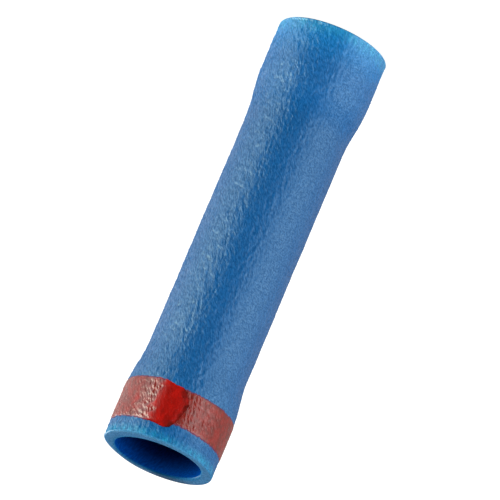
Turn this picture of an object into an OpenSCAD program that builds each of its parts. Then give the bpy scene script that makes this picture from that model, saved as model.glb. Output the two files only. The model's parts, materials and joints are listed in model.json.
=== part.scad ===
// Step-down butt splice for joining two wires of different size end to end.
// An insulating sleeve with flared mouths grips a crimp barrel in its waist,
// and an ink band marks the mouth that takes the smaller wire.
// The splice stands on its plain rim at z = 0, with its axis along +Z.

/* [Insulating sleeve] */
// Thickness of the sleeve's wall
wall = 0.77; // [0.5:0.01:1.2]
// Inside diameter of the flared mouths
mouth_id = 5.06; // [4.8:0.02:6.4]
// Straight length of the plain mouth
plain_mouth_len = 3; // [2:0.1:6]
// Length of each shoulder between a mouth and the waist
shoulder_len = 3; // [1.5:0.1:5]
// Rounding of the rims
rim_r = 0.12; // [0.05:0.01:0.24]

/* [Crimp barrel] */
// Length of the barrel, which is also the length of the sleeve's waist
barrel_len = 14.7; // [10:0.1:25]
// Outside diameter of the barrel
barrel_od = 4.45; // [3.8:0.05:4.75]
// Radial gap between the barrel and the sleeve
barrel_fit = 0.02; // [0:0.01:0.1]
// Bore for the larger wire, at the plain end
large_bore_d = 2.4; // [1.8:0.05:2.8]
// Bore for the smaller wire, at the marked end
small_bore_d = 1.7; // [1.2:0.05:1.8]
// Chamfer that leads each wire into its bore
entry_chamfer = 0.3; // [0.1:0.05:0.4]
// Chamfer on the outer edges of the barrel
edge_chamfer = 0.12; // [0.05:0.01:0.3]
// Throat left open through the wire stop
stop_throat_d = 0.9; // [0.4:0.05:1.1]
// Rounding of the wire stop's crest
stop_round = 0.9; // [0.6:0.05:1.2]
// Depth of the groove that is rolled in over the wire stop
groove_depth = 0.45; // [0.2:0.05:0.6]
// Width of that groove
groove_w = 1.6; // [1.2:0.1:2.4]

/* [Marking band] */
// Distance from the marked rim to the band
band_setback = 1.2; // [0.8:0.05:2.5]
// Width of the band, which ends where the shoulder begins
band_w = 2.1; // [1:0.1:4]
// Thickness of the ink
ink = 0.04; // [0.02:0.01:0.1]
// Angle over which the start and the end of the stroke lap
lap_angle = 30; // [10:1:60]
// Middle of the lap, counted from +X
lap_heading = 280; // [0:5:355]
// Offset of the lapped stroke towards the rim
lap_shift = 0.3; // [0.1:0.05:0.45]

/* [Hidden] */

$fn = 96;
shoulder_steps = 12;
rim_steps = 5;
roll_steps = 14;

marked_mouth_len = band_setback + band_w;
waist_z = plain_mouth_len + shoulder_len;
waist_top = waist_z + barrel_len;
marked_mouth_z = waist_top + shoulder_len;
sleeve_len = marked_mouth_z + marked_mouth_len;

mouth_r = mouth_id / 2;
flare_r = mouth_r + wall;
barrel_r = barrel_od / 2;
waist_bore_r = barrel_r + barrel_fit;
waist_r = waist_bore_r + wall;

stop_z = waist_z + barrel_len / 2;
large_r = large_bore_d / 2;
small_r = small_bore_d / 2;
stop_centre_r = stop_throat_d / 2 + stop_round;
groove_round = (groove_w * groove_w / 4 + groove_depth * groove_depth) / (2 * groove_depth);

band_z = marked_mouth_z;
band_top = band_z + band_w;
band_r = flare_r + ink;

// Rise from 0 to 1 that starts and ends level
function ease(share) = (1 - cos(180 * share)) / 2;

// Points of an arc, in degrees from one angle to the other
function arc(centre, radius, from, to, steps) =
    [for (i = [0 : steps])
        let (angle = from + (to - from) * i / steps)
        centre + radius * [cos(angle), sin(angle)]];

// Points of a shoulder that climbs from z while its radius goes from one value to the other
function shoulder(z, from_r, to_r) =
    [for (i = [0 : shoulder_steps])
        let (share = i / shoulder_steps)
        [from_r + (to_r - from_r) * ease(share), z + shoulder_len * share]];

// Both shoulders of one side of the wall, from the plain end up
function wall_line(mouth, waist) =
    concat(shoulder(plain_mouth_len, mouth, waist), shoulder(waist_top, waist, mouth));

function reversed(points) = [for (i = [len(points) - 1 : -1 : 0]) points[i]];

// Section of the sleeve, with four rounded rim edges
function sleeve_section() =
    let (low = rim_r, high = sleeve_len - rim_r)
    let (outside = flare_r - rim_r, inside = mouth_r + rim_r)
    concat(
        arc([outside, low], rim_r, -90, 0, rim_steps),
        wall_line(flare_r, waist_r),
        arc([outside, high], rim_r, 0, 90, rim_steps),
        arc([inside, high], rim_r, 90, 180, rim_steps),
        reversed(wall_line(mouth_r, waist_bore_r)),
        arc([inside, low], rim_r, 180, 270, rim_steps)
    );

// Outside of the rolled groove, from its lower edge to its upper one
function groove_line() =
    let (spread = asin(groove_w / 2 / groove_round))
    arc([barrel_r - groove_depth + groove_round, stop_z], groove_round,
        180 + spread, 180 - spread, roll_steps);

// Crest of the wire stop, from the small bore down to the large one
function stop_line() =
    let (small_side = acos((small_r - stop_centre_r) / stop_round))
    let (large_side = 360 - acos((large_r - stop_centre_r) / stop_round))
    arc([stop_centre_r, stop_z], stop_round, small_side, large_side, roll_steps);

function barrel_section() =
    concat(
        [
            [large_r + entry_chamfer, waist_z],
            [barrel_r - edge_chamfer, waist_z],
            [barrel_r, waist_z + edge_chamfer]
        ],
        groove_line(),
        [
            [barrel_r, waist_top - edge_chamfer],
            [barrel_r - edge_chamfer, waist_top],
            [small_r + entry_chamfer, waist_top],
            [small_r, waist_top - entry_chamfer]
        ],
        stop_line(),
        [[large_r, waist_z + entry_chamfer]]
    );

// Ring between two radii, over part of a turn or a whole one
module ring_part(inner_r, outer_r, z, height, angle) {
    rotate_extrude(angle = angle)
        translate([inner_r, z])
            square([outer_r - inner_r, height]);
}

module insulation_sleeve() {
    color("steelblue")
        rotate_extrude()
            polygon(sleeve_section());
}

module crimp_barrel() {
    color("silver")
        rotate_extrude()
            polygon(barrel_section());
}

// The ink lies on the straight mouth and reaches nearer to the rim where the stroke laps
module marking_band() {
    color("firebrick")
        difference() {
            ring_part(flare_r, band_r, band_z, band_w + lap_shift, 360);
            rotate([0, 0, lap_heading + lap_angle / 2])
                ring_part(mouth_r, band_r + wall, band_top, lap_shift + wall, 360 - lap_angle);
        }
}

insulation_sleeve();
crimp_barrel();
marking_band();
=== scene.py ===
import json
import math

import bpy
import numpy as np
from mathutils import Matrix, Vector, noise


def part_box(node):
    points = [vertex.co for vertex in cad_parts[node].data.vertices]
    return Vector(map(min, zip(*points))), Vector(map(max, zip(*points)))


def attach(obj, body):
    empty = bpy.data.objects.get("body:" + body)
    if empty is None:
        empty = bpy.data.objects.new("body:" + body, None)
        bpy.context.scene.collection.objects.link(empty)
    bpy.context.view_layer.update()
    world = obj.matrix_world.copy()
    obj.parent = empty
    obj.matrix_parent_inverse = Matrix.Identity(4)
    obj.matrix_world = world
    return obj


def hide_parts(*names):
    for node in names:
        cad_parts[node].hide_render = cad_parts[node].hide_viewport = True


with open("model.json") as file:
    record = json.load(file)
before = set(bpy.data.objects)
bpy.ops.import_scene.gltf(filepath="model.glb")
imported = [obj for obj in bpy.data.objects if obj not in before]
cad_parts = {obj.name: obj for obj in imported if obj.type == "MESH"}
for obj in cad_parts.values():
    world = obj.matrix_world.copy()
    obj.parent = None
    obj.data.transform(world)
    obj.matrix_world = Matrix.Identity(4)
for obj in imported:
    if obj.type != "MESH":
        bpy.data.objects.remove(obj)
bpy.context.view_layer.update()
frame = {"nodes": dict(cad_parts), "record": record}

# Sizes taken from the frame, in metres
MM = 0.001
TURN = 2 * math.pi
mounts = {mount["name"]: mount for mount in frame["record"]["mounts"]}
plain_mouth = mounts["mouth_plain"]
marked_mouth = mounts["mouth_marked"]
sleeve_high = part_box("insulation_sleeve")[1]
barrel_low, barrel_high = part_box("crimp_barrel")
band_low, band_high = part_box("marking_band")

BARREL_FIT = 0.02 * MM
LENGTH = sleeve_high.z
FLARE_R = sleeve_high.x
MOUTH_R = marked_mouth["dims"]["r_mm"] * MM
WALL = FLARE_R - MOUTH_R
WAIST_BORE_R = barrel_high.x + BARREL_FIT
WAIST_R = WAIST_BORE_R + WALL
RIM_R = plain_mouth["pos_m"][2]
PLAIN_MOUTH_TOP = RIM_R + plain_mouth["dims"]["length_mm"] * MM
WAIST_Z = barrel_low.z
WAIST_TOP = barrel_high.z
MARKED_MOUTH_Z = band_low.z
SHOULDER_Z = (PLAIN_MOUTH_TOP + WAIST_Z) / 2
INK = band_high.x - FLARE_R

# Camera, fitted to the photograph's outline
VIEW_ELEVATION = math.radians(18.42)
VIEW_ROLL = math.radians(156.98)
VIEW_DISTANCE = 540 * MM
VIEW_LENS = 681.6
VIEW_SHIFT = 0.238 * MM

# Shift of the noise from one seed to the next, and a seed for each use
SEED_STEP = (17.3, 5.1, 29.7)
WARP_SEEDS = (1, 2, 3)
FINE_SEED = 4
CREASE_SEED = 5
WAVE_SEED = 6
SLOW_WOBBLE_SEED = 7
RAGGED_SEED = 8
FAST_WOBBLE_SEED = 9
BLOTCH_SEED = 10
INK_WARP_SEEDS = (11, 12, 13)
RIDGE_SEED = 14
INK_FINE_SEED = 15
FRAY_SEED = 16

# Relief of the nylon, whose grain follows a helix round the sleeve
GRAIN_PITCH = 0.13 * MM
GRAIN_STRETCH = 1.5
GRAIN_TWIST = math.tan(math.radians(29)) / FLARE_R
GRAIN_DEPTH = 0.036 * MM
GRAIN_SINK = 0.5
GRAIN_SIDE = math.radians(-30)
GRAIN_LEAN = 0.4
MOUTH_GRAIN = 1.3
FINE_SHARE = 0.85
CREASE_SHARE = 0.4
CREASE_PITCH = 1.7 * GRAIN_PITCH
CREASE_LEVEL = 0.5
BLOTCH_SHARE = 0.2
BLOTCH_PITCH = 3.5 * GRAIN_PITCH
WARP_PITCH = 0.9 * MM
WARP_REACH = 0.16 * MM
WAVE_PITCH = 1.8 * MM
WAVE_DEPTH = 0.024 * MM

# Marked mouth, spread and pressed slightly oval, with a shallow dent in its rim
LIP_SPREAD = 0.09 * MM
OVAL_HEADING = math.radians(55)
OVAL_REACH = 0.16 * MM
OVAL_DEPTH = 3 * MM
DENT_HEADING = math.radians(40)
DENT_WIDTH = math.radians(42)
DENT_DEPTH = 0.15 * MM
DENT_LENGTH = 1.6 * MM

# Mesh of the sleeve
AROUND = 352
OUTER_ROWS = 225
INNER_ROWS = 30
RIM_STEPS = 6
BORE_TINT_START = -0.7

# Stroke of ink: angles run from the camera's side of the mouth towards -X
STROKE_START = math.radians(-28)
STROKE_END = math.radians(366)
STROKE_COLUMNS = 860
STROKE_ROWS = 52

# Edges of the stroke, as distances from the rim at its start and at its end
NARROW_EDGES = (1.2 * MM, 3.43 * MM)
WIDE_EDGES = (0.93 * MM, 3.60 * MM)
SLOW_WOBBLE = 0.03 * MM
SLOW_WOBBLE_PITCH = 0.12
FAST_WOBBLE = 0.04 * MM
FAST_WOBBLE_PITCH = 0.04
DRIP_ANGLE = math.radians(349)
DRIP_WIDTH = math.radians(5)
DRIP_REACH = 0.1 * MM
SETTLE_FROM = math.radians(336)
SETTLE_TO = math.radians(352)
SETTLE_RISE = WIDE_EDGES[1] - NARROW_EDGES[1]

# Tip, whose edges meet at a share of the stroke's width, and its fray, which starts two tips before the end
STROKE_TIP = math.radians(12)
TIP_SHARE = 0.32
TIP_BLUNTNESS = 0.0004
TIP_FRAY = math.radians(5.5)
FRAY_COUNT = 9
FRAY_TIPS = 2

# Lap of the end over the start, and the dark pool round the end
LAP_FADE = math.radians(5)
LAP_RAGGED = 1.7
RAGGED_PITCH = 0.3 * MM
BARE_LEAD = math.radians(2)
BARE_FADE = math.radians(6)
POOL_WIDTH = 0.6 * MM
POOL_LENGTH = math.radians(14)
POOL_FADE = math.radians(5.6)
POOL_FILL = 0.75

# Blot of thicker ink before the lap, placed by its distance from the rim
BLOT_ANGLE = math.radians(314)
BLOT_REACH = math.radians(5)
BLOT_MIDDLE = 2.05 * MM
BLOT_HEIGHT = 0.65 * MM
BLOT_SHARE = 0.8
BLOT_RAGGED = 0.5

# Ink's thickness in shares of the band's, the shares of grain it fills, and the widths of its edges
THIN_BODY = 0.22
FULL_BODY = 0.3
LAPPED_BODY = 0.7
EDGE_SUNK = 0.7
INK_ROOT = 0.3
LAPPED_ROOT = 0.9
LEAST_BODY = 0.2
FILLED = 0.6
LAPPED_FILLED = 0.35
FEATHER = 0.26 * MM
EDGE_SINK = 0.09 * MM

# Wrinkles of the dried ink, deepest on both sides of the lap
INK_DEPTH = 0.032 * MM
INK_PITCH = 0.12 * MM
INK_STRETCH = 2.3
RIDGE_PITCH = 1.5 * INK_PITCH
INK_FINE_SHARE = 0.7
INK_WARP_PITCH = 0.5 * MM
INK_WARP_REACH = 0.15 * MM
WRINKLED_MIDDLE = math.radians(-1)
WRINKLED_REACH = math.radians(43)
WRINKLED_FADE = math.radians(15)
LAP_SMOOTHING = 0.9
FAR_SMOOTHING = 0.7

# Shine of the ink along the stroke, as pairs of an angle in degrees and a share
SHINE_ALONG = (
    (-28, 1.0), (12, 1.05), (20, 1.2), (32, 0.75), (45, 0.45), (230, 0.55),
    (285, 0.9), (300, 0.75), (314, 0.7), (324, 1.4), (334, 1.3), (344, 0.5),
)

# Ramps that the materials share, and the fall of their gloss towards the outline
FALLING = (1.0, 0.0)
WHOLE = (0.0, 1.0)
FACING_SPAN = (0.2, 0.96)
FACING_BLEND = 0.5

# Colours of the nylon, as linear shares of red, green and blue; the lighter, more cyan blues of the lip,
# the rim and the hollow wall are the nylon's blue with a painted glow of light through the thin wall
LIP_GLOW_BLUE = (0.012, 0.24, 0.57)
RIM_GLOW_BLUE = (0.006, 0.185, 0.52)
HOLLOW_GLOW_BLUE = (0.008, 0.127, 0.388)
BACKED_BLUE = (0.003, 0.096, 0.308)
MARKED_BLUE = (0.003, 0.101, 0.312)
SKIN_STOPS = (
    (0.008, LIP_GLOW_BLUE),
    (0.03, RIM_GLOW_BLUE),
    (0.085, HOLLOW_GLOW_BLUE),
    (PLAIN_MOUTH_TOP / LENGTH, HOLLOW_GLOW_BLUE),
    (WAIST_Z / LENGTH, BACKED_BLUE),
    (WAIST_TOP / LENGTH, BACKED_BLUE),
    (MARKED_MOUTH_Z / LENGTH, MARKED_BLUE),
)
# Painted glow: light cyan streaks and wisps near the rims, for light through the thin wall
STREAK_GLOW_BLUE = (0.012, 0.26, 0.5)
WISP_GLOW_BLUE = (0.03, 0.33, 0.64)
FACE_BLUE = (0.004, 0.178, 0.44)
# Painted shade: darker blues for the far side of the cut faces, darkest on the far side towards -X
FAR_FACE_SHADE_BLUE = (0.004, 0.12, 0.3)
SHADED_FACE_BLUE = (0.003, 0.06, 0.15)
# Painted highlight: lighter blue on the outer edge of the cut faces on the camera's side
FACE_EDGE_HIGHLIGHT_BLUE = (0.05, 0.24, 0.48)
BORE_BLUE = (0.0005, 0.063, 0.37)
# Painted shade deep in the bore, away from both mouths
DEEP_BORE_SHADE_BLUE = (0.0005, 0.0095, 0.088)

# Painted glow of light through the thin wall: streaks at the marked rim and wisps at the plain one
STREAK_HEIGHTS = (LENGTH - 0.7 * MM, LENGTH - 0.1 * MM)
STREAK_PITCH = 0.26 * MM
STREAK_STRETCH = 2.6
STREAK_SPAN = (0.38, 0.66)
STREAK_LEVELS = (0.3, 1.0)
WISP_HEIGHTS = (0.15 * MM, 1.1 * MM)
WISP_PITCH = 0.2 * MM
WISP_STRETCH = 3.0
WISP_SPAN = (0.42, 0.66)

# Cut faces, from the camera's side to the far side, with painted shade on the far side and a painted
# highlight on the outer edge on the camera's side, and the bore from its mouths inwards, darkened by
# painted shade
AHEAD_SPAN = (-0.9 * FLARE_R, 0.3 * FLARE_R)
BEHIND_SPAN = (0.4 * FLARE_R, 0.95 * FLARE_R)
FAR_SIDE_SPAN = (-0.2 * FLARE_R, 0.2 * FLARE_R)
FACE_EDGE_SPAN = (FLARE_R - 0.26 * MM, FLARE_R - 0.08 * MM)
BORE_DEPTHS = (0.0, 1.6 * MM)

# Fine grain in the nylon's colour and gloss: flecks on one side, leaning lines on the other
FLECK_PITCH = 0.1 * MM
FLECK_STRETCH = 0.85
LINE_PITCH = 0.085 * MM
LINE_STRETCH = 2.2
LINED_SPAN = (-0.5 * FLARE_R, -0.1 * FLARE_R)
GRAIN_SPAN = (0.3, 0.7)
GRAIN_SHADES = (0.75, 1.25)
GRAIN_ROUGHNESS = (0.42, 0.32)
GRAIN_SHEEN = (0.58, 1.42)
GRAIN_BUMP = 0.03 * MM

# Gloss of the nylon
NYLON_GLOSS = 0.95
NYLON_IOR = 1.56
NYLON_TINT = (0.71, 0.95, 0.83, 1)
RIM_SHEEN_HEIGHTS = (LENGTH - 1.25 * MM, LENGTH - 0.95 * MM)
RIM_SHEEN = (1.0, 0.65)
PLAIN_SHEEN_HEIGHTS = (0.3 * MM, 1.6 * MM)
PLAIN_SHEEN = (1.3, 1.0)
DULLED_HEIGHTS = (SHOULDER_Z - 1.2 * MM, SHOULDER_Z + 0.3 * MM)
DULLED_SHEEN = (1.0, 0.55)
CLEARED_HEIGHTS = (SHOULDER_Z + 0.3 * MM, SHOULDER_Z + 1.7 * MM)
CLEARED_SHEEN = (0.0, 0.45)
FACE_SHEEN = (0.27, 0.1)
LIP_SHEEN_RADII = (MOUTH_R + 0.1 * MM, MOUTH_R + 0.3 * MM)
LIP_SHEEN = (0.3, 1.0)
BORE_SHEEN = (1.0, 0.02)

# Ink: colours as stops of one coat and of two, edges that let the nylon through, and gloss
THIN_REDS = (
    (0.35, (0.16, 0.016, 0.011)),
    (0.65, (0.27, 0.018, 0.012)),
)
THIN_PITCH = 0.3 * MM
THIN_STRETCH = 1.3
THICK_REDS = (
    (0.35, (0.26, 0.005, 0.003)),
    (0.65, (0.43, 0.007, 0.004)),
)
THICK_PITCH = 0.35 * MM
THICK_STRETCH = 2.0
POOL_RED = (0.11, 0.008, 0.006)
EDGE_VIOLET = (0.1, 0.06, 0.16)
EDGE_FADE_SPAN = (0.0, 0.5)
EDGE_FADE = (0.6, 0.0)
INK_GLOSS = 0.85
INK_ROUGHNESS = 0.25
INK_IOR = 1.6
INK_TINT = (1, 0.95, 0.95, 1)
POOL_SHEEN = (1.0, 0.02)
EDGE_SHEEN_SPAN = (0.05, 0.4)
EDGE_SHEEN = (0.15, 1.0)
INK_BUMP_PITCH = 0.07 * MM
INK_BUMP_STRETCH = 1.4
INK_BUMP = 0.018 * MM

# Tin plating
TIN_PITCH = 0.15 * MM
TIN_STRETCH = 12.0
TIN_SPAN = (0.3, 0.7)
TIN_GREYS = (
    (0.3, (0.58, 0.58, 0.57)),
    (0.7, (0.72, 0.72, 0.70)),
)
TIN_ROUGHNESS = (0.28, 0.42)

# Floor, in metres, and light levels, where 1 is white
FLOOR_HALF = 3.0
FLOOR_Z = -0.01 * MM
FLOOR_DARK = (0.02, 0.02, 0.02)
FLOOR_PALE = (0.38, 0.38, 0.38)
FLOOR_LIFT = 0.88
ROOM_LIGHT = 0.55

# Dark side of the studio, in front of the splice, as angles towards +X
GAP_FROM = math.radians(-17)
GAP_TO = math.radians(50)
GAP_SOFTNESS = math.radians(11)

# Dim side of the studio, behind the splice, as angles towards +X
DIM_FROM = math.radians(-175)
DIM_TO = math.radians(-80)
DIM_SOFTNESS = math.radians(15)
DIM_SHARE = 0.38

# Lamps: headings in degrees from the camera's side towards +X, sizes in metres
LAMPS = (
    {
        "name": "softbox_left",
        "heading": 73, "distance": 0.25, "width": 0.22, "height": 0.13,
        "radiance": 4.6, "colour": (1, 1, 0.81), "mirrored": True,
    },
    {
        "name": "softbox_right",
        "heading": -56, "distance": 0.25, "width": 0.22, "height": 0.13,
        "radiance": 1.2, "colour": (1, 1, 1), "mirrored": True,
    },
    {
        "name": "softbox_back",
        "heading": 140, "distance": 0.3, "width": 0.22, "height": 0.16,
        "radiance": 8.0, "colour": (1, 1, 0.88), "mirrored": True,
    },
    {
        "name": "fill_front",
        "heading": 5, "distance": 0.4, "width": 0.24, "height": 0.024,
        "radiance": 49.0, "colour": (1, 1, 1), "mirrored": False,
    },
    {
        "name": "fill_right",
        "heading": -80, "distance": 0.25, "width": 0.22, "height": 0.13,
        "radiance": 3.6, "colour": (0.94, 1, 0.93), "mirrored": False,
    },
)


def ease(share):
    """Rise from 0 to 1 that starts and ends level."""
    return (1 - np.cos(math.pi * np.clip(share, 0, 1))) / 2


def turn_from(heading, angle):
    """Angle away from a heading, up to half a turn."""
    return np.abs(np.remainder(angle - heading + math.pi, TURN) - math.pi)


def wall_radius(z, mouth, waist):
    """Radius of one side of the sleeve's wall at each height."""
    fall = ease((z - PLAIN_MOUTH_TOP) / (WAIST_Z - PLAIN_MOUTH_TOP))
    rise = ease((z - WAIST_TOP) / (MARKED_MOUTH_Z - WAIST_TOP))
    return mouth + (waist - mouth) * (fall - rise)


def skin_points(theta, z):
    """Points on a plain tube at each angle and height, for reading noise."""
    return np.stack([FLARE_R * np.cos(theta), FLARE_R * np.sin(theta), z], axis=-1).reshape(-1, 3)


def line_points(values):
    """Points along a straight line at each value, for reading noise."""
    return np.stack([values, values * 0, values * 0], axis=-1)


def noise_at(points, pitch, seed):
    """Smooth noise from -1 to 1 at each point, with bumps about one pitch apart."""
    shift = Vector([seed * step for step in SEED_STEP])
    return np.array([noise.noise(Vector(p) + shift) for p in points / pitch])


def grain_points(theta, z, warp_pitch, warp_reach, warp_seeds, stretch):
    """Points for reading grain that leans along the helix, is bent by a warp and is drawn out."""
    points = skin_points(theta + GRAIN_TWIST * z, z)
    warp = np.stack([noise_at(points, warp_pitch, seed) for seed in warp_seeds], axis=-1)
    points = points + warp_reach * warp
    points[:, 2] /= stretch
    return points


def crinkle(theta, z):
    """Height of the crinkled grain at each angle and height, as a share of its depth."""
    points = grain_points(theta, z, WARP_PITCH, WARP_REACH, WARP_SEEDS, GRAIN_STRETCH)
    fine = noise_at(points, GRAIN_PITCH, FINE_SEED)
    creases = CREASE_LEVEL - np.abs(noise_at(points, CREASE_PITCH, CREASE_SEED)) * 2
    blotches = noise_at(points, BLOTCH_PITCH, BLOTCH_SEED)
    return (FINE_SHARE * fine + CREASE_SHARE * creases + BLOTCH_SHARE * blotches).reshape(theta.shape)


def swell(theta, z):
    """Slow waviness of the tube at each angle and height, from -1 to 1."""
    return noise_at(skin_points(theta, z), WAVE_PITCH, WAVE_SEED).reshape(theta.shape)


def rim_dent(theta, z):
    """Depth of the dent in the marked rim at each angle and height."""
    beside = 1 - ease(turn_from(DENT_HEADING, theta) / DENT_WIDTH)
    return DENT_DEPTH * beside * ease((z - LENGTH) / DENT_LENGTH + 1)


def grain_share(theta):
    """Strength of the grain at each angle, which is greater on one side."""
    return 1 + GRAIN_LEAN * np.cos(theta - GRAIN_SIDE)


def skin_radius(theta, z, filled=0.0):
    """Radius of the sleeve's outside, with its grain or with a share of the grain filled in."""
    grain = crinkle(theta, z) * (1 - filled) + GRAIN_SINK * filled
    depth = GRAIN_DEPTH * wall_radius(z, MOUTH_GRAIN, 1) * grain_share(theta)
    relief = depth * (grain - GRAIN_SINK) + WAVE_DEPTH * swell(theta, z)
    return wall_radius(z, FLARE_R, WAIST_R) + relief - rim_dent(theta, z)


def add_piece(name, points, faces, **values):
    """Smooth-shaded mesh object from points and faces, with named values on its points."""
    mesh = bpy.data.meshes.new(name)
    mesh.from_pydata(points, [], faces)
    mesh.polygons.foreach_set("use_smooth", np.ones(len(mesh.polygons), bool))
    for label, numbers in values.items():
        layer = mesh.attributes.new(label, "FLOAT", "POINT")
        layer.data.foreach_set("value", numbers.reshape(-1).astype(np.float32))
    mesh.update()
    piece = bpy.data.objects.new(name, mesh)
    bpy.context.scene.collection.objects.link(piece)
    return piece


def rings_from(theta, radius, z):
    """Rings of points from angles, radii and heights, one row for each ring."""
    return np.stack(np.broadcast_arrays(radius * np.cos(theta), radius * np.sin(theta), z), axis=-1)


def rim_edge(centre_r, centre_z, start):
    """Radii and heights of a rounded rim edge, over a quarter turn from the start angle."""
    angles = start + np.linspace(0, math.pi / 2, RIM_STEPS)
    return centre_r + RIM_R * np.cos(angles), centre_z + RIM_R * np.sin(angles)


def make_sleeve():
    """Sleeve with a grained outside, rounded rims and a smooth bore, as one closed skin."""
    turn = np.linspace(0, TURN, AROUND, endpoint=False)
    low = RIM_R
    high = LENGTH - RIM_R
    outside = FLARE_R - RIM_R
    inside = MOUTH_R + RIM_R
    theta, outer_z = np.meshgrid(turn, np.linspace(low, high, OUTER_ROWS))
    inner_z = np.linspace(high, low, INNER_ROWS)[1:-1]
    low_r, low_z = [edge[:-1, None] for edge in rim_edge(outside, low, -math.pi / 2)]
    high_r, high_z = [edge[1:, None] for edge in rim_edge(outside, high, 0)]
    bore_parts = [
        rim_edge(inside, high, math.pi / 2),
        (wall_radius(inner_z, MOUTH_R, WAIST_BORE_R), inner_z),
        rim_edge(inside, low, math.pi),
    ]
    bore_r, bore_z = [np.concatenate(part)[:, None] for part in zip(*bore_parts)]
    oval = OVAL_REACH * np.cos(2 * (turn - OVAL_HEADING))
    bore_r = bore_r + (LIP_SPREAD + oval) * ease((bore_z - high) / OVAL_DEPTH + 1)
    rings = np.concatenate([
        rings_from(turn, low_r, low_z),
        rings_from(theta, skin_radius(theta, outer_z), outer_z),
        rings_from(turn, high_r - rim_dent(turn, LENGTH), high_z),
        rings_from(turn, bore_r, bore_z),
    ])
    bore = np.zeros(rings.shape[:2])
    sinking = np.clip(np.linspace(BORE_TINT_START, 1, RIM_STEPS), 0, 1)
    bore[-len(bore_z):] = np.concatenate([sinking, np.ones(len(inner_z)), sinking[::-1]])[:, None]
    outer = np.zeros(rings.shape[:2])
    outer[:RIM_STEPS - 1 + OUTER_ROWS] = 1
    index = np.arange(rings.shape[0] * AROUND).reshape(-1, AROUND)
    right = np.roll(index, -1, axis=1)
    above = np.roll(index, -1, axis=0)
    quads = np.stack([index, right, np.roll(right, -1, axis=0), above], axis=-1)
    return add_piece("sleeve", rings.reshape(-1, 3), quads.reshape(-1, 4), bore=bore, outer=outer)


def stroke_edges(angle):
    """Heights of the stroke's two edges at each angle along it."""
    along = ease((angle - STROKE_START) / (STROKE_END - STROKE_START))
    near, far = [n + (w - n) * along for n, w in zip(NARROW_EDGES, WIDE_EDGES)]
    drip = np.exp(-((angle - DRIP_ANGLE) / DRIP_WIDTH) ** 2)
    run = line_points(angle)
    slow = SLOW_WOBBLE * noise_at(run, SLOW_WOBBLE_PITCH, SLOW_WOBBLE_SEED)
    wobble = slow + FAST_WOBBLE * noise_at(run, FAST_WOBBLE_PITCH, FAST_WOBBLE_SEED)
    settle = ease((angle - SETTLE_FROM) / (SETTLE_TO - SETTLE_FROM))
    upper = LENGTH - near + DRIP_REACH * drip + wobble
    lower = LENGTH - far + wobble[::-1] + settle * SETTLE_RISE
    tip = np.clip((angle - (STROKE_END - STROKE_TIP)) / STROKE_TIP, 0, 1)
    close = 1 - np.sqrt(np.maximum(1 - tip ** 2, TIP_BLUNTNESS))
    meet = lower + TIP_SHARE * (upper - lower)
    return lower + close * (meet - lower), upper + close * (meet - upper)


def ink_crinkle(theta, z):
    """Height of the wrinkles in the dried ink, as a share of their depth."""
    points = grain_points(theta, z, INK_WARP_PITCH, INK_WARP_REACH, INK_WARP_SEEDS, INK_STRETCH)
    ridges = 1 - 2 * np.abs(noise_at(points, RIDGE_PITCH, RIDGE_SEED))
    return (ridges + INK_FINE_SHARE * noise_at(points, INK_PITCH, INK_FINE_SEED)).reshape(theta.shape)


def ink_surfaces(turned, theta, z, from_edge, feather, lapped):
    """Radii of the ink's top and of its underside, which lies in the skin or on the first coat."""
    skin = skin_radius(theta, z)
    bare = ease((turned - STROKE_END + TURN + BARE_LEAD) / BARE_FADE)
    smoothed = ease((turn_from(WRINKLED_MIDDLE, turned) - WRINKLED_REACH) / WRINKLED_FADE)
    depth = INK_DEPTH * feather * bare * (1 - LAP_SMOOTHING * lapped) * (1 - FAR_SMOOTHING * smoothed)
    wrinkles = depth * ink_crinkle(theta, z)
    body = INK * (THIN_BODY + FULL_BODY * feather + LAPPED_BODY * lapped)
    crest = skin_radius(theta, z, FILLED + LAPPED_FILLED * lapped) + body + wrinkles
    sunk = (1 - ease(from_edge / EDGE_SINK)) * (1 - lapped)
    top = np.maximum(crest, skin + THIN_BODY * INK) - EDGE_SUNK * INK * sunk
    root = skin - INK_ROOT * INK + LAPPED_ROOT * INK * lapped
    return top, np.minimum(root, top - LEAST_BODY * INK)


def sheet_faces(grid):
    """Faces between the neighbours in a grid of point numbers."""
    corners = [grid[:-1, :-1], grid[:-1, 1:], grid[1:, 1:], grid[1:, :-1]]
    return np.stack(corners, axis=-1).reshape(-1, 4)


def closed_coat(outer, inner):
    """Points and faces of a closed coat between two grids of points."""
    count = outer.shape[0] * outer.shape[1]
    index = np.arange(count).reshape(outer.shape[:2])
    border = np.concatenate([index[:-1, 0], index[-1, :-1], index[:0:-1, -1], index[0, :0:-1]])
    after = np.roll(border, -1)
    sides = np.stack([border, after, after + count, border + count], axis=-1)
    faces = np.concatenate([sheet_faces(index), sheet_faces(index + count)[:, ::-1], sides[:, ::-1]])
    return np.concatenate([outer.reshape(-1, 3), inner.reshape(-1, 3)]), faces


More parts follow.
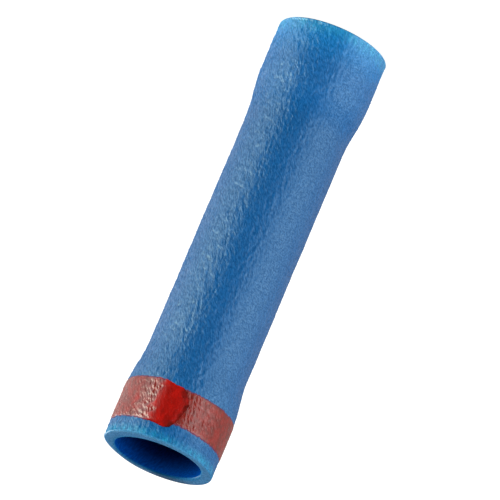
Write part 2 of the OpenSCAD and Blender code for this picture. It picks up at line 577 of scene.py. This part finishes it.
def make_stroke():
    """Brushed ink round the mouth. Its wide end lies over its narrow start."""
    angle = np.linspace(STROKE_START, STROKE_END, STROKE_COLUMNS)
    across = np.linspace(0, 1, STROKE_ROWS)
    lower, upper = stroke_edges(angle)
    z = lower[:, None] + (upper - lower)[:, None] * across
    frayed = TIP_FRAY * noise_at(line_points(across * FRAY_COUNT), 1.0, FRAY_SEED)
    turned = angle[:, None] + frayed * ease((angle[:, None] - STROKE_END) / STROKE_TIP + FRAY_TIPS)
    theta = -math.pi / 2 - turned
    ragged = noise_at(skin_points(theta, z), RAGGED_PITCH, RAGGED_SEED).reshape(z.shape)
    lapped = ease((turned - STROKE_START - TURN) / LAP_FADE + LAP_RAGGED * ragged)
    from_edge = np.minimum(across, 1 - across) * (upper - lower)[:, None]
    feather = ease(from_edge / FEATHER)
    top, under = ink_surfaces(turned, theta, z, from_edge, feather, lapped)
    beside_blot = (turned - BLOT_ANGLE) / BLOT_REACH
    above_blot = (LENGTH - z - BLOT_MIDDLE) / BLOT_HEIGHT
    blot = BLOT_SHARE * (1 - ease(np.hypot(beside_blot, above_blot) + BLOT_RAGGED * ragged))
    from_end = FLARE_R * (STROKE_END - angle)[:, None]
    ending = ease((turned - STROKE_END + POOL_LENGTH) / POOL_FADE)
    at_border = 1 - ease(np.minimum(from_edge, from_end) / POOL_WIDTH)
    pool = ending * at_border * ease(POOL_FILL + ragged)
    shine = np.interp(np.degrees(turned), *zip(*SHINE_ALONG))
    shares = {"coat": np.maximum(lapped, blot), "pool": pool, "middle": feather, "shine": shine}
    values = {
        name: np.tile(np.broadcast_to(share, z.shape).reshape(-1), 2)
        for name, share in shares.items()
    }
    points, faces = closed_coat(rings_from(theta, top, z), rings_from(theta, under, z))
    return add_piece("ink_stroke", points, faces, **values)


def new_material(name):
    """Node material, its tree and its surface shader."""
    material = bpy.data.materials.new(name)
    material.use_nodes = True
    return material, material.node_tree, material.node_tree.nodes["Principled BSDF"]


def math_node(tree, operation, first, second):
    """Output of a math node, whose inputs are numbers or other outputs."""
    node = tree.nodes.new("ShaderNodeMath")
    node.operation = operation
    for socket, value in zip(node.inputs, (first, second)):
        if isinstance(value, (int, float)):
            socket.default_value = value
        else:
            tree.links.new(value, socket)
    return node.outputs[0]


def product(tree, first, second):
    """Output of one value times another."""
    return math_node(tree, "MULTIPLY", first, second)


def ramp_between(tree, value, from_min, from_max, to_min=0.0, to_max=1.0):
    """Output that eases from one value to another as its input crosses a range."""
    node = tree.nodes.new("ShaderNodeMapRange")
    node.interpolation_type = "SMOOTHSTEP"
    tree.links.new(value, node.inputs["Value"])
    labels = ("From Min", "From Max", "To Min", "To Max")
    for label, number in zip(labels, (from_min, from_max, to_min, to_max)):
        node.inputs[label].default_value = number
    return node.outputs[0]


def attribute(tree, name):
    """Output of a named value on the mesh's points."""
    node = tree.nodes.new("ShaderNodeAttribute")
    node.attribute_name = name
    return node.outputs["Fac"]


def colour_ramp(tree, value, stops):
    """Output that passes through the colours of its stops as its input grows."""
    node = tree.nodes.new("ShaderNodeValToRGB")
    elements = node.color_ramp.elements
    while len(elements) < len(stops):
        elements.new(0.5)
    for element, (position, colour) in zip(elements, stops):
        element.position = position
        element.color = (*colour, 1)
    tree.links.new(value, node.inputs["Fac"])
    return node.outputs["Color"]


def mix_colour(tree, share, first, second):
    """Output that goes from the first colour to the second with the share."""
    node = tree.nodes.new("ShaderNodeMix")
    node.data_type = "RGBA"
    tree.links.new(share, node.inputs["Factor"])
    for socket, colour in zip((node.inputs["A"], node.inputs["B"]), (first, second)):
        if isinstance(colour, tuple):
            socket.default_value = (*colour, 1)
        else:
            tree.links.new(colour, socket)
    return node.outputs["Result"]


def place_in(tree, space):
    """Output of the shaded point's place or direction, in the named space."""
    return tree.nodes.new("ShaderNodeTexCoord").outputs[space]


def parts_of(tree, vector):
    """Outputs of a vector's parts along X, Y and Z."""
    node = tree.nodes.new("ShaderNodeSeparateXYZ")
    tree.links.new(vector, node.inputs[0])
    return node.outputs["X"], node.outputs["Y"], node.outputs["Z"]


def noise_field(tree, pitch, stretch, detail=2.0, twist=0.0):
    """Noise from 0 to 1 over the object, drawn out along its axis or along a helix round it."""
    place = place_in(tree, "Object")
    height = parts_of(tree, place)[2]
    turned = tree.nodes.new("ShaderNodeVectorRotate")
    turned.rotation_type = "Z_AXIS"
    tree.links.new(place, turned.inputs["Vector"])
    tree.links.new(product(tree, height, twist), turned.inputs["Angle"])
    scale = tree.nodes.new("ShaderNodeMapping")
    scale.inputs["Scale"].default_value = (1, 1, 1 / stretch)
    field = tree.nodes.new("ShaderNodeTexNoise")
    field.inputs["Scale"].default_value = 1 / pitch
    field.inputs["Detail"].default_value = detail
    tree.links.new(turned.outputs["Vector"], scale.inputs["Vector"])
    tree.links.new(scale.outputs["Vector"], field.inputs["Vector"])
    return field.outputs["Fac"]


def flat_gloss(tree, shader, gloss, *shares):
    """Gloss that stays even towards the outline, as on a grained skin, and is scaled by each share."""
    weight = tree.nodes.new("ShaderNodeLayerWeight")
    weight.inputs["Blend"].default_value = FACING_BLEND
    level = ramp_between(tree, weight.outputs["Facing"], *FACING_SPAN, gloss, 0.0)
    for share in shares:
        level = product(tree, level, share)
    tree.links.new(level, shader.inputs["Specular IOR Level"])


def add_bump(tree, shader, height, distance):
    """Fine relief under the size of the mesh."""
    bump = tree.nodes.new("ShaderNodeBump")
    bump.inputs["Distance"].default_value = distance
    tree.links.new(height, bump.inputs["Height"])
    tree.links.new(bump.outputs["Normal"], shader.inputs["Normal"])


def skin_colour_with_glow(tree, height):
    """Colour of the sleeve's outside along its height, lighter and more cyan at the hollow ends, with
    streaks at both rims, a painted glow of light through the thin wall over the nylon's blue.
    """
    along = colour_ramp(tree, math_node(tree, "DIVIDE", height, LENGTH), SKIN_STOPS)
    near_rim = ramp_between(tree, height, *STREAK_HEIGHTS)
    drawn = noise_field(tree, STREAK_PITCH, STREAK_STRETCH)
    streaks = ramp_between(tree, drawn, *STREAK_SPAN, *STREAK_LEVELS)
    streaked = mix_colour(tree, product(tree, near_rim, streaks), along, STREAK_GLOW_BLUE)
    near_plain = ramp_between(tree, height, *WISP_HEIGHTS, *FALLING)
    wisps = ramp_between(tree, noise_field(tree, WISP_PITCH, WISP_STRETCH), *WISP_SPAN)
    return mix_colour(tree, product(tree, near_plain, wisps), streaked, WISP_GLOW_BLUE)


def face_colour_with_shade(tree, x, y, radius):
    """Colour of the cut faces, with painted shade on their far side and a painted highlight on their outer
    edge on the camera's side, and the share of painted shade on the far side.
    """
    ahead = ramp_between(tree, y, *AHEAD_SPAN, *FALLING)
    behind = ramp_between(tree, y, *BEHIND_SPAN)
    shaded = product(tree, behind, ramp_between(tree, x, *FAR_SIDE_SPAN, *FALLING))
    face = mix_colour(tree, behind, FACE_BLUE, FAR_FACE_SHADE_BLUE)
    face = mix_colour(tree, shaded, face, SHADED_FACE_BLUE)
    near_edge = ramp_between(tree, radius, *FACE_EDGE_SPAN)
    return mix_colour(tree, product(tree, near_edge, ahead), face, FACE_EDGE_HIGHLIGHT_BLUE), shaded


def bore_colour_with_shade(tree, height):
    """Colour of the bore, with painted shade that darkens it from each mouth inwards."""
    from_top = math_node(tree, "SUBTRACT", LENGTH, height)
    depth = math_node(tree, "MINIMUM", height, from_top)
    return mix_colour(tree, ramp_between(tree, depth, *BORE_DEPTHS), BORE_BLUE, DEEP_BORE_SHADE_BLUE)


def nylon_grain(tree, x):
    """Fine grain from 0 to 1, which turns from flecks to leaning lines towards +X."""
    flecks = noise_field(tree, FLECK_PITCH, FLECK_STRETCH, twist=GRAIN_TWIST)
    lines = noise_field(tree, LINE_PITCH, LINE_STRETCH, twist=GRAIN_TWIST)
    lined = ramp_between(tree, x, *LINED_SPAN)
    leaning = product(tree, lined, math_node(tree, "SUBTRACT", lines, flecks))
    return math_node(tree, "ADD", flecks, leaning)


def sheen_along(tree, height):
    """Shares of the nylon's gloss at the marked rim, at the plain mouth and on its shoulder."""
    rim = ramp_between(tree, height, *RIM_SHEEN_HEIGHTS, *RIM_SHEEN)
    plain = ramp_between(tree, height, *PLAIN_SHEEN_HEIGHTS, *PLAIN_SHEEN)
    dulled = ramp_between(tree, height, *DULLED_HEIGHTS, *DULLED_SHEEN)
    cleared = ramp_between(tree, height, *CLEARED_HEIGHTS, *CLEARED_SHEEN)
    return rim, plain, math_node(tree, "ADD", dulled, cleared)


def nylon():
    """Matte nylon, lighter and more cyan where the wall is hollow and at the cut rims, a painted glow of
    light through the thin wall; painted shade darkens the far side of the cut faces and the bore, and a
    painted highlight lightens the cut faces' outer edge on the camera's side.
    """
    material, tree, shader = new_material("blue_nylon")
    x, y, height = parts_of(tree, place_in(tree, "Object"))
    squares = math_node(tree, "ADD", product(tree, x, x), product(tree, y, y))
    radius = math_node(tree, "SQRT", squares, 0.0)
    outer = attribute(tree, "outer")
    bore = attribute(tree, "bore")
    face, shaded = face_colour_with_shade(tree, x, y, radius)
    cut = mix_colour(tree, outer, face, skin_colour_with_glow(tree, height))
    grain = nylon_grain(tree, x)
    shade = tree.nodes.new("ShaderNodeHueSaturation")
    tree.links.new(mix_colour(tree, bore, cut, bore_colour_with_shade(tree, height)), shade.inputs["Color"])
    tree.links.new(ramp_between(tree, grain, *GRAIN_SPAN, *GRAIN_SHADES), shade.inputs["Value"])
    tree.links.new(shade.outputs["Color"], shader.inputs["Base Color"])
    tree.links.new(ramp_between(tree, grain, *GRAIN_SPAN, *GRAIN_ROUGHNESS), shader.inputs["Roughness"])
    shader.inputs["IOR"].default_value = NYLON_IOR
    shader.inputs["Specular Tint"].default_value = NYLON_TINT
    sheen = ramp_between(tree, grain, *GRAIN_SPAN, *GRAIN_SHEEN)
    cut_sheen = math_node(tree, "MAXIMUM", outer, ramp_between(tree, shaded, *WHOLE, *FACE_SHEEN))
    lip_sheen = ramp_between(tree, radius, *LIP_SHEEN_RADII, *LIP_SHEEN)
    bore_sheen = ramp_between(tree, bore, *WHOLE, *BORE_SHEEN)
    shares = (sheen, *sheen_along(tree, height), cut_sheen, lip_sheen, bore_sheen)
    flat_gloss(tree, shader, NYLON_GLOSS, *shares)
    add_bump(tree, shader, product(tree, grain, outer), GRAIN_BUMP)
    return material


def red_ink():
    """Glossy ink that is thin and dull in one coat, and full red where two coats lie."""
    material, tree, shader = new_material("red_ink")
    thin = colour_ramp(tree, noise_field(tree, THIN_PITCH, THIN_STRETCH), THIN_REDS)
    thick = colour_ramp(tree, noise_field(tree, THICK_PITCH, THICK_STRETCH), THICK_REDS)
    coat = attribute(tree, "coat")
    pool = attribute(tree, "pool")
    middle = attribute(tree, "middle")
    full = mix_colour(tree, coat, thin, thick)
    dark = mix_colour(tree, pool, full, POOL_RED)
    single = math_node(tree, "SUBTRACT", 1.0, coat)
    faded = product(tree, ramp_between(tree, middle, *EDGE_FADE_SPAN, *EDGE_FADE), single)
    tree.links.new(mix_colour(tree, faded, dark, EDGE_VIOLET), shader.inputs["Base Color"])
    shader.inputs["Roughness"].default_value = INK_ROUGHNESS
    shader.inputs["IOR"].default_value = INK_IOR
    shader.inputs["Specular Tint"].default_value = INK_TINT
    pool_sheen = ramp_between(tree, pool, *WHOLE, *POOL_SHEEN)
    edge_sheen = ramp_between(tree, middle, *EDGE_SHEEN_SPAN, *EDGE_SHEEN)
    flat_gloss(tree, shader, INK_GLOSS, pool_sheen, edge_sheen, attribute(tree, "shine"))
    add_bump(tree, shader, noise_field(tree, INK_BUMP_PITCH, INK_BUMP_STRETCH), INK_BUMP)
    return material


def tin():
    """Satin tin plating with faint streaks along the tube."""
    material, tree, shader = new_material("tinned_copper")
    streaks = noise_field(tree, TIN_PITCH, TIN_STRETCH)
    tree.links.new(colour_ramp(tree, streaks, TIN_GREYS), shader.inputs["Base Color"])
    shader.inputs["Metallic"].default_value = 1
    tree.links.new(ramp_between(tree, streaks, *TIN_SPAN, *TIN_ROUGHNESS), shader.inputs["Roughness"])
    return material


def studio_side(tree, heading, start, end, softness, share=1.0):
    """Output that reaches the share between two headings and is 0 elsewhere."""
    opens = ramp_between(tree, heading, start - softness, start + softness, 0.0, share)
    closes = ramp_between(tree, heading, end - softness, end + softness, *FALLING)
    return product(tree, opens, closes)


def studio_shade(tree, vector):
    """Output that is 1 in the dark side of the studio and less on its dim side, by heading."""
    x, y, _ = parts_of(tree, vector)
    heading = math_node(tree, "ARCTAN2", x, product(tree, y, -1.0))
    gap = studio_side(tree, heading, GAP_FROM, GAP_TO, GAP_SOFTNESS)
    dim = studio_side(tree, heading, DIM_FROM, DIM_TO, DIM_SOFTNESS, DIM_SHARE)
    return math_node(tree, "MAXIMUM", gap, dim)


def shown_rays(tree):
    """Outputs that are 1 for rays that show the background, and for rays off a glossy surface."""
    rays = tree.nodes.new("ShaderNodeLightPath").outputs
    seen = math_node(tree, "MAXIMUM", rays["Is Camera Ray"], rays["Is Transmission Ray"])
    return seen, rays["Is Glossy Ray"]


def make_floor():
    """White paper under and around the splice, which keeps the shadow."""
    signs = ((-1, -1), (1, -1), (1, 1), (-1, 1))
    corners = [(x * FLOOR_HALF, y * FLOOR_HALF, FLOOR_Z) for x, y in signs]
    floor = add_piece("floor", corners, [(0, 1, 2, 3)])
    material, tree, shader = new_material("white_paper")
    shade = studio_shade(tree, place_in(tree, "Object"))
    seen, glossy = shown_rays(tree)
    unseen = math_node(tree, "SUBTRACT", 1.0, seen)
    light = math_node(tree, "SUBTRACT", 1.0, product(tree, shade, unseen))
    lift = product(tree, math_node(tree, "MAXIMUM", seen, glossy), light)
    tree.links.new(mix_colour(tree, light, FLOOR_DARK, FLOOR_PALE), shader.inputs["Base Color"])
    shader.inputs["Roughness"].default_value = 1.0
    shader.inputs["Specular IOR Level"].default_value = 0.0
    shader.inputs["Emission Color"].default_value = (1, 1, 1, 1)
    tree.links.new(product(tree, lift, FLOOR_LIFT), shader.inputs["Emission Strength"])
    floor.data.materials.append(material)


def make_world():
    """White room with a dark side in front of the splice and a dim one behind it."""
    world = bpy.data.worlds.new("studio")
    world.use_nodes = True
    tree = world.node_tree
    shade = studio_shade(tree, place_in(tree, "Generated"))
    seen, glossy = shown_rays(tree)
    light = math_node(tree, "SUBTRACT", 1.0, shade)
    level = math_node(tree, "ADD", product(tree, glossy, 1.0 - ROOM_LIGHT), ROOM_LIGHT)
    strength = math_node(tree, "MAXIMUM", seen, product(tree, light, level))
    background = tree.nodes["Background"]
    background.inputs["Color"].default_value = (1, 1, 1, 1)
    tree.links.new(strength, background.inputs["Strength"])
    bpy.context.scene.world = world


def make_softbox(name, heading, distance, width, height, radiance, colour, mirrored):
    """Area lamp that stands on the floor and faces the splice."""
    angle = math.radians(heading)
    direction = Vector((math.sin(angle), -math.cos(angle), 0))
    lamp = bpy.data.lights.new(name, "AREA")
    lamp.shape = "RECTANGLE"
    lamp.size = width
    lamp.size_y = height
    lamp.energy = radiance * math.pi * width * height
    lamp.color = colour
    box = bpy.data.objects.new(name, lamp)
    box.location = distance * direction + Vector((0, 0, height / 2))
    box.rotation_mode = "QUATERNION"
    box.rotation_quaternion = direction.to_track_quat("Z", "Y")
    box.visible_camera = False
    box.visible_glossy = mirrored
    bpy.context.scene.collection.objects.link(box)


def make_camera():
    """Camera above the marked mouth, rolled so that the tube leans as in the photograph."""
    back = Vector((0, -math.cos(VIEW_ELEVATION), math.sin(VIEW_ELEVATION)))
    level = Vector((1, 0, 0))
    rise = back.cross(level)
    right = math.cos(VIEW_ROLL) * level - math.sin(VIEW_ROLL) * rise
    up = math.sin(VIEW_ROLL) * level + math.cos(VIEW_ROLL) * rise
    aim = Vector((0, 0, LENGTH / 2)) + VIEW_SHIFT * right
    place = Matrix((right, up, back)).transposed().to_4x4()
    place.translation = aim + VIEW_DISTANCE * back
    lens = bpy.data.cameras.new("camera")
    lens.lens = VIEW_LENS
    camera = bpy.data.objects.new("camera", lens)
    camera.matrix_world = place
    bpy.context.scene.collection.objects.link(camera)
    bpy.context.scene.camera = camera


bpy.context.scene.view_settings.view_transform = "Standard"
make_camera()
make_floor()
make_world()
for lamp_values in LAMPS:
    make_softbox(**lamp_values)

sleeve = make_sleeve()
sleeve.data.materials.append(nylon())
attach(sleeve, "root")
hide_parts("insulation_sleeve")

stroke = make_stroke()
stroke.data.materials.append(red_ink())
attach(stroke, "root")
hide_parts("marking_band")

barrel = frame["nodes"]["crimp_barrel"]
barrel.data.materials.clear()
barrel.data.materials.append(tin())
